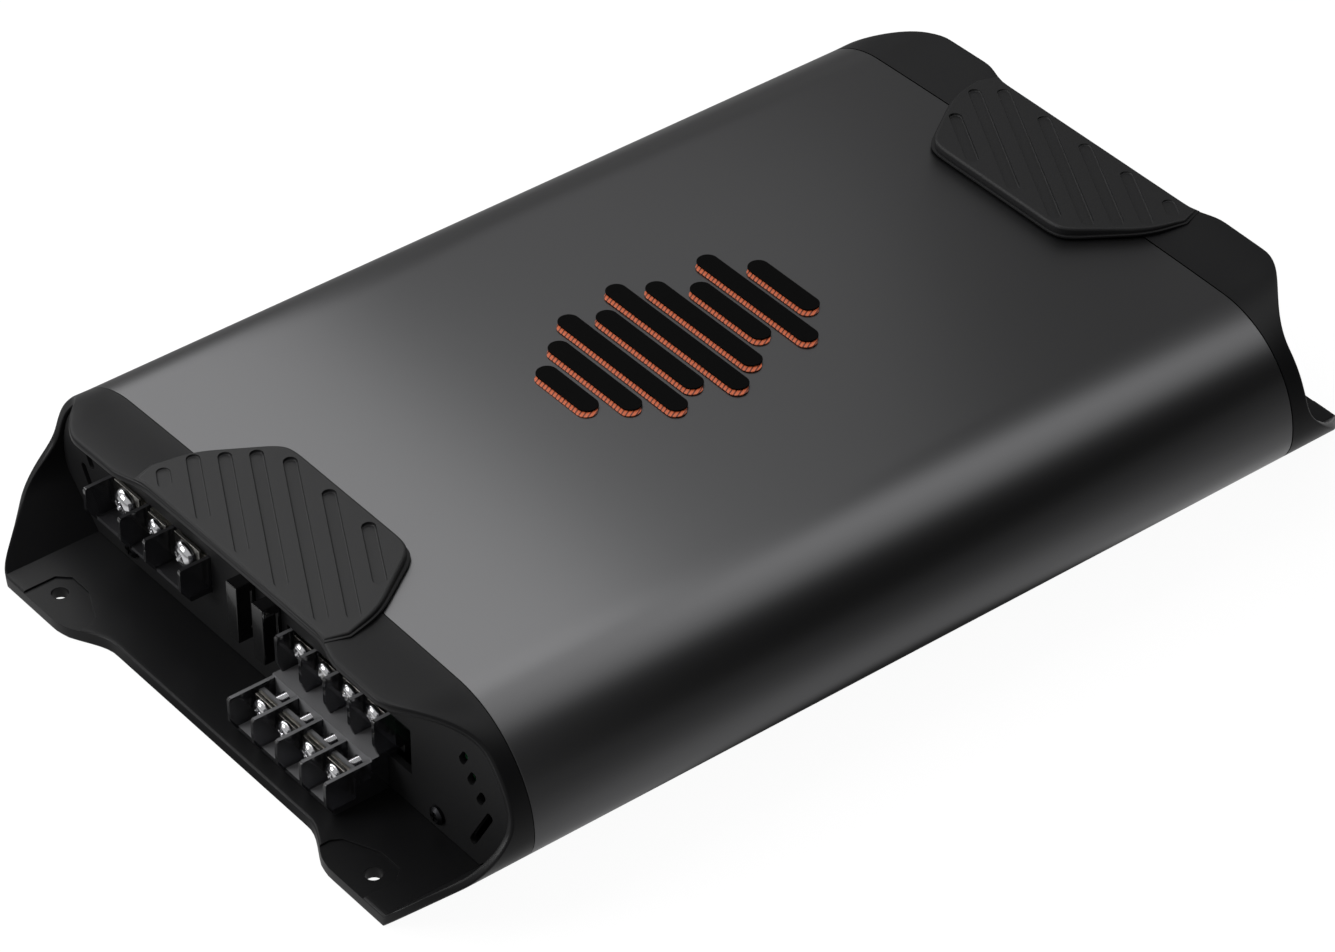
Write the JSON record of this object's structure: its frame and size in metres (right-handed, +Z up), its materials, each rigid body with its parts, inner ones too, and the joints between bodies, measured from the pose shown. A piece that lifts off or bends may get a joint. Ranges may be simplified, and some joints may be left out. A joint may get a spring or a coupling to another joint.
{
  "type": "car amplifier",
  "caption": "Car audio amplifier: ribbed-end aluminium cover between two black moulded end hoods with mounting ears, screw terminals and blade fuses.",
  "frame": {"origin": "middle of the footprint, in the plane the amplifier stands on", "axes": "+X along the long axis towards the control end, the screw terminals are at -X; +Z up"},
  "size_m": [0.341, 0.213, 0.0608],
  "materials": {
    "cover_aluminium": "fine blasted, satin grey anodised",
    "base_steel": "black painted steel sheet",
    "hood_plastic": "satin moulded black",
    "pad_rubber": "matt black soft touch",
    "panel_black": "black powder coat",
    "terminal_plastic": "glossy smoked black",
    "contact_plate": "nickel plated",
    "screw_chrome": "polished plate",
    "clamp_nickel": "nickel plated",
    "emblem_black": "matt black",
    "emblem_orange": "orange, satin",
    "holder_plastic": "moulded dark grey",
    "fuse_plastic": "glossy black",
    "board": "green solder resist",
    "standoff_brass": "turned",
    "screw_steel": "zinc plated",
    "core_winding": "enamelled copper winding",
    "capacitor_sleeve": "shrink sleeve, dark blue",
    "transistor_plastic": "epoxy, fine matt",
    "jack_plastic": "moulded red",
    "jack_gold": "gold plated",
    "socket_nylon": "natural nylon",
    "knob_plastic": "moulded black",
    "lens_blue": "clear blue lens",
    "screw_black": "black oxide"
  },
  "bodies": {
    "amplifier": {"top_cover": "cover_aluminium", "bottom_plate": "base_steel", "front_hood": "hood_plastic", "rear_hood": "hood_plastic", "front_grip_pad": "pad_rubber", "rear_grip_pad": "pad_rubber", "terminal_panel": "panel_black", "control_panel": "panel_black", "power_terminal_block": "terminal_plastic", "power_contacts": "contact_plate", "speaker_terminal_block": "terminal_plastic", "speaker_contacts": "contact_plate", "emblem_face": "emblem_black", "emblem_edge": "emblem_orange", "fuse_holder": "holder_plastic", "circuit_board": "board", "standoffs": "standoff_brass", "board_screws": "screw_steel", "transformer_core": "core_winding", "filter_capacitors": "capacitor_sleeve", "output_coils": "core_winding", "transistors": "transistor_plastic", "clamp_bars": "clamp_nickel", "clamp_bar_screws": "screw_steel", "input_jacks": "jack_plastic", "jack_shells": "jack_gold", "high_level_socket": "socket_nylon", "control_bodies": "holder_plastic", "status_lens": "lens_blue", "panel_screws": "screw_black", "base_screws": "screw_steel"},
    "power_1_clamp": {"power_clamp_1": "clamp_nickel"},
    "power_1_screw": {"power_screw_1": "screw_chrome"},
    "remote_clamp": {"remote_clamp": "clamp_nickel"},
    "remote_screw": {"remote_screw": "screw_chrome"},
    "power_2_clamp": {"power_clamp_2": "clamp_nickel"},
    "power_2_screw": {"power_screw_2": "screw_chrome"},
    "speaker_1_clamp": {"speaker_clamp_1": "clamp_nickel"},
    "speaker_1_screw": {"speaker_screw_1": "screw_chrome"},
    "speaker_2_clamp": {"speaker_clamp_2": "clamp_nickel"},
    "speaker_2_screw": {"speaker_screw_2": "screw_chrome"},
    "speaker_3_clamp": {"speaker_clamp_3": "clamp_nickel"},
    "speaker_3_screw": {"speaker_screw_3": "screw_chrome"},
    "speaker_4_clamp": {"speaker_clamp_4": "clamp_nickel"},
    "speaker_4_screw": {"speaker_screw_4": "screw_chrome"},
    "speaker_5_clamp": {"speaker_clamp_5": "clamp_nickel"},
    "speaker_5_screw": {"speaker_screw_5": "screw_chrome"},
    "speaker_6_clamp": {"speaker_clamp_6": "clamp_nickel"},
    "speaker_6_screw": {"speaker_screw_6": "screw_chrome"},
    "speaker_7_clamp": {"speaker_clamp_7": "clamp_nickel"},
    "speaker_7_screw": {"speaker_screw_7": "screw_chrome"},
    "speaker_8_clamp": {"speaker_clamp_8": "clamp_nickel"},
    "speaker_8_screw": {"speaker_screw_8": "screw_chrome"},
    "fuse_1": {"fuse_1": "fuse_plastic"},
    "fuse_2": {"fuse_2": "fuse_plastic"},
    "level_knob_1": {"level_knob_1": "knob_plastic"},
    "crossover_knob": {"crossover_knob": "knob_plastic"},
    "level_knob_2": {"level_knob_2": "knob_plastic"},
    "crossover_switch": {"crossover_switch": "knob_plastic"},
    "input_switch": {"input_switch": "knob_plastic"}
  },
  "joints": [
    {"name": "power_1_lift", "type": "slide", "parent": "amplifier", "child": "power_1_clamp", "axis": [-1, 0, 0], "range_m": [0, 0.004]},
    {"name": "power_1_turn", "type": "hinge", "parent": "power_1_clamp", "child": "power_1_screw", "pos_m": [-0.1392, 0.0698, 0.0275], "axis": [-1, 0, 0], "range_deg": [0, 1800]},
    {"name": "remote_lift", "type": "slide", "parent": "amplifier", "child": "remote_clamp", "axis": [-1, 0, 0], "range_m": [0, 0.0025]},
    {"name": "remote_turn", "type": "hinge", "parent": "remote_clamp", "child": "remote_screw", "pos_m": [-0.1392, 0.0553, 0.0275], "axis": [-1, 0, 0], "range_deg": [0, 1800]},
    {"name": "power_2_lift", "type": "slide", "parent": "amplifier", "child": "power_2_clamp", "axis": [-1, 0, 0], "range_m": [0, 0.004]},
    {"name": "power_2_turn", "type": "hinge", "parent": "power_2_clamp", "child": "power_2_screw", "pos_m": [-0.1392, 0.0408, 0.0275], "axis": [-1, 0, 0], "range_deg": [0, 1800]},
    {"name": "speaker_1_lift", "type": "slide", "parent": "amplifier", "child": "speaker_1_clamp", "axis": [-1, 0, 0], "range_m": [0, 0.0025]},
    {"name": "speaker_1_turn", "type": "hinge", "parent": "speaker_1_clamp", "child": "speaker_1_screw", "pos_m": [-0.1372, -0.0105, 0.0257], "axis": [-1, 0, 0], "range_deg": [0, 1800]},
    {"name": "speaker_2_lift", "type": "slide", "parent": "amplifier", "child": "speaker_2_clamp", "axis": [-1, 0, 0], "range_m": [0, 0.0025]},
    {"name": "speaker_2_turn", "type": "hinge", "parent": "speaker_2_clamp", "child": "speaker_2_screw", "pos_m": [-0.1372, -0.0215, 0.0257], "axis": [-1, 0, 0], "range_deg": [0, 1800]},
    {"name": "speaker_3_lift", "type": "slide", "parent": "amplifier", "child": "speaker_3_clamp", "axis": [-1, 0, 0], "range_m": [0, 0.0025]},
    {"name": "speaker_3_turn", "type": "hinge", "parent": "speaker_3_clamp", "child": "speaker_3_screw", "pos_m": [-0.1372, -0.0325, 0.0257], "axis": [-1, 0, 0], "range_deg": [0, 1800]},
    {"name": "speaker_4_lift", "type": "slide", "parent": "amplifier", "child": "speaker_4_clamp", "axis": [-1, 0, 0], "range_m": [0, 0.0025]},
    {"name": "speaker_4_turn", "type": "hinge", "parent": "speaker_4_clamp", "child": "speaker_4_screw", "pos_m": [-0.1372, -0.0435, 0.0257], "axis": [-1, 0, 0], "range_deg": [0, 1800]},
    {"name": "speaker_5_lift", "type": "slide", "parent": "amplifier", "child": "speaker_5_clamp", "axis": [-1, 0, 0], "range_m": [0, 0.0025]},
    {"name": "speaker_5_turn", "type": "hinge", "parent": "speaker_5_clamp", "child": "speaker_5_screw", "pos_m": [-0.1508, -0.0105, 0.0126], "axis": [-1, 0, 0], "range_deg": [0, 1800]},
    {"name": "speaker_6_lift", "type": "slide", "parent": "amplifier", "child": "speaker_6_clamp", "axis": [-1, 0, 0], "range_m": [0, 0.0025]},
    {"name": "speaker_6_turn", "type": "hinge", "parent": "speaker_6_clamp", "child": "speaker_6_screw", "pos_m": [-0.1508, -0.0215, 0.0126], "axis": [-1, 0, 0], "range_deg": [0, 1800]},
    {"name": "speaker_7_lift", "type": "slide", "parent": "amplifier", "child": "speaker_7_clamp", "axis": [-1, 0, 0], "range_m": [0, 0.0025]},
    {"name": "speaker_7_turn", "type": "hinge", "parent": "speaker_7_clamp", "child": "speaker_7_screw", "pos_m": [-0.1508, -0.0325, 0.0126], "axis": [-1, 0, 0], "range_deg": [0, 1800]},
    {"name": "speaker_8_lift", "type": "slide", "parent": "amplifier", "child": "speaker_8_clamp", "axis": [-1, 0, 0], "range_m": [0, 0.0025]},
    {"name": "speaker_8_turn", "type": "hinge", "parent": "speaker_8_clamp", "child": "speaker_8_screw", "pos_m": [-0.1508, -0.0435, 0.0126], "axis": [-1, 0, 0], "range_deg": [0, 1800]},
    {"name": "fuse_1_pull", "type": "slide", "parent": "amplifier", "child": "fuse_1", "axis": [-1, 0, 0], "range_m": [0, 0.015]},
    {"name": "fuse_2_pull", "type": "slide", "parent": "amplifier", "child": "fuse_2", "axis": [-1, 0, 0], "range_m": [0, 0.015]},
    {"name": "level_knob_1_turn", "type": "hinge", "parent": "amplifier", "child": "level_knob_1", "pos_m": [0.139, 0.009, 0.036], "axis": [1, 0, 0], "range_deg": [-140, 140]},
    {"name": "crossover_knob_turn", "type": "hinge", "parent": "amplifier", "child": "crossover_knob", "pos_m": [0.139, 0.027, 0.036], "axis": [1, 0, 0], "range_deg": [-140, 140]},
    {"name": "level_knob_2_turn", "type": "hinge", "parent": "amplifier", "child": "level_knob_2", "pos_m": [0.139, 0.045, 0.036], "axis": [1, 0, 0], "range_deg": [-140, 140]},
    {"name": "crossover_switch_slide", "type": "slide", "parent": "amplifier", "child": "crossover_switch", "axis": [0, 1, 0], "range_m": [-0.002, 0.002]},
    {"name": "input_switch_slide", "type": "slide", "parent": "amplifier", "child": "input_switch", "axis": [0, 1, 0], "range_m": [-0.002, 0.002]}
  ],
  "couplings": [
    {"joint": "power_1_turn", "follows": "power_1_lift", "rad_per_m": 7854},
    {"joint": "remote_turn", "follows": "remote_lift", "rad_per_m": 12566},
    {"joint": "power_2_turn", "follows": "power_2_lift", "rad_per_m": 7854},
    {"joint": "speaker_1_turn", "follows": "speaker_1_lift", "rad_per_m": 12566},
    {"joint": "speaker_2_turn", "follows": "speaker_2_lift", "rad_per_m": 12566},
    {"joint": "speaker_3_turn", "follows": "speaker_3_lift", "rad_per_m": 12566},
    {"joint": "speaker_4_turn", "follows": "speaker_4_lift", "rad_per_m": 12566},
    {"joint": "speaker_5_turn", "follows": "speaker_5_lift", "rad_per_m": 12566},
    {"joint": "speaker_6_turn", "follows": "speaker_6_lift", "rad_per_m": 12566},
    {"joint": "speaker_7_turn", "follows": "speaker_7_lift", "rad_per_m": 12566},
    {"joint": "speaker_8_turn", "follows": "speaker_8_lift", "rad_per_m": 12566}
  ]
}
